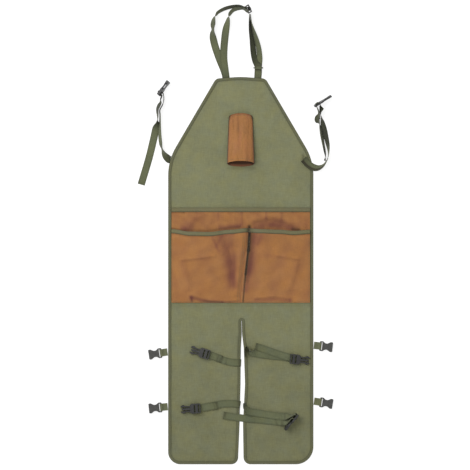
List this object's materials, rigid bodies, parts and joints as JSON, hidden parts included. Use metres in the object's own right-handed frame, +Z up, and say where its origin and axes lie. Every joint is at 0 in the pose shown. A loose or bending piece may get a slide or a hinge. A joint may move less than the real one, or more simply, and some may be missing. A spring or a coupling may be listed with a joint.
{
  "type": "gardening leg apron",
  "caption": "Long split-leg gardening apron laid flat, with wide front pockets, a tool sleeve on the bib, neck and waist straps and buckled leg fasteners",
  "frame": {"origin": "on the underside of the body panel, on its centre line, half way along its length", "axes": "X to the right of the laid apron seen from its front, Y up to the neck, Z up off the surface it lies on"},
  "size_m": [0.5365, 1.2595, 0.0301],
  "materials": {
    "canvas": "woven, waxed look",
    "tape": "ribbed binding tape",
    "rust_canvas": "fine plain weave",
    "webbing": "woven webbing",
    "buckle_plastic": "moulded, satin"
  },
  "bodies": {
    "root": {"body_panel": "canvas", "edge_tape": "tape", "back_pocket_tape": "tape", "front_pocket_tape_left": "tape", "front_pocket_tape_right": "tape", "back_pocket": "rust_canvas", "front_pocket_left": "rust_canvas", "front_pocket_right": "rust_canvas", "tool_sleeve": "rust_canvas", "tool_sleeve_back": "rust_canvas", "neck_strap": "webbing", "neck_strap_loop": "webbing", "neck_tab": "webbing", "waist_strap_left": "webbing", "waist_strap_right": "webbing", "side_tab_upper_left": "webbing", "leg_strap_upper_left": "webbing", "side_tab_lower_left": "webbing", "leg_strap_lower_left": "webbing", "side_tab_upper_right": "webbing", "leg_strap_upper_right": "webbing", "side_tab_lower_right": "webbing", "leg_strap_lower_right": "webbing", "neck_glide": "buckle_plastic", "neck_ring": "buckle_plastic", "waist_receptacle": "buckle_plastic", "waist_plug": "buckle_plastic", "side_receptacle_upper_left": "buckle_plastic", "leg_plug_upper_left": "buckle_plastic", "side_receptacle_lower_left": "buckle_plastic", "leg_plug_lower_left": "buckle_plastic", "side_receptacle_upper_right": "buckle_plastic", "leg_plug_upper_right": "buckle_plastic", "side_receptacle_lower_right": "buckle_plastic", "leg_plug_lower_right": "buckle_plastic"}
  },
  "joints": []
}
